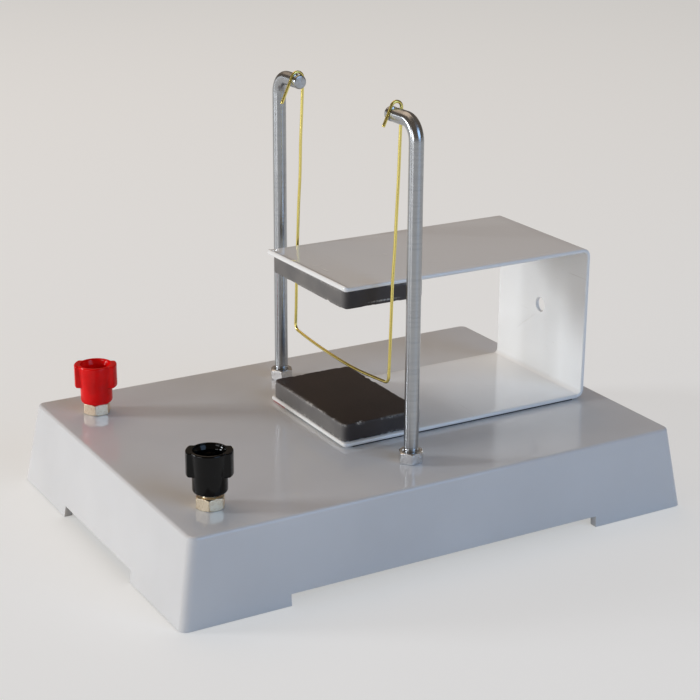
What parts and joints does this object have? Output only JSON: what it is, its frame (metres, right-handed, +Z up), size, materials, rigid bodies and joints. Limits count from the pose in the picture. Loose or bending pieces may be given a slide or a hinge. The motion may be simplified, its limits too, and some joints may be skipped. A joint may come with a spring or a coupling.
{
  "type": "ampere force apparatus",
  "caption": "Classroom ampere force apparatus: a brass wire swing hangs from bent posts between the poles of a yoke magnet on a white base with red and black screw terminals.",
  "frame": {"origin": "on the table under the middle of the base", "axes": "+X along the base from the terminals to the closed back of the yoke, +Y from the black terminal to the red one, +Z up"},
  "size_m": [0.2, 0.141, 0.1523],
  "materials": {
    "base_plastic": "moulded, milky white",
    "yoke_paint": "gloss white paint on bent sheet steel",
    "tape_film": "red film of double-sided tape",
    "ferrite": "ground ferrite, matt",
    "post_plate": "bright nickel plate on drawn rod",
    "nut_plate": "bright zinc plate",
    "wire_brass": "drawn brass wire, bent by hand",
    "red_plastic": "moulded, glossy",
    "black_plastic": "moulded, glossy",
    "terminal_brass": "turned, pale",
    "strip_brass": "rolled strip"
  },
  "bodies": {
    "base": {"base_shell": "base_plastic", "magnet_yoke": "yoke_paint", "yoke_tapes": "tape_film", "upper_magnet": "ferrite", "lower_magnet": "ferrite", "far_post": "post_plate", "near_post": "post_plate", "post_top_nuts": "nut_plate", "post_washers": "nut_plate", "post_bottom_nuts": "nut_plate", "red_stud": "terminal_brass", "black_stud": "terminal_brass", "terminal_top_nuts": "terminal_brass", "terminal_washers": "terminal_brass", "terminal_bottom_nuts": "terminal_brass", "far_contact_strip": "strip_brass", "near_contact_strip": "strip_brass"},
    "swing": {"swing_wire": "wire_brass"},
    "red_insert": {"red_cap_insert": "terminal_brass"},
    "red_cap": {"red_cap": "red_plastic"},
    "black_insert": {"black_cap_insert": "terminal_brass"},
    "black_cap": {"black_cap": "black_plastic"}
  },
  "joints": [
    {"name": "swing_hinge", "type": "hinge", "parent": "base", "child": "swing", "pos_m": [-0.0025, 0, 0.1475], "axis": [0, 1, 0], "range_deg": [-45, 45]},
    {"name": "red_lift", "type": "slide", "parent": "base", "child": "red_insert", "axis": [0, 0, 1], "range_m": [0, 0.0035]},
    {"name": "red_turn", "type": "hinge", "parent": "red_insert", "child": "red_cap", "pos_m": [-0.0785, 0.048, 0.042], "axis": [0, 0, 1], "range_deg": [0, 1261]},
    {"name": "black_lift", "type": "slide", "parent": "base", "child": "black_insert", "axis": [0, 0, 1], "range_m": [-0.001, 0.0025]},
    {"name": "black_turn", "type": "hinge", "parent": "black_insert", "child": "black_cap", "pos_m": [-0.0785, -0.048, 0.042], "axis": [0, 0, 1], "range_deg": [-361, 901]}
  ],
  "couplings": [
    {"joint": "red_turn", "follows": "red_lift", "rad_per_m": 6283.2},
    {"joint": "black_turn", "follows": "black_lift", "rad_per_m": 6283.2}
  ]
}
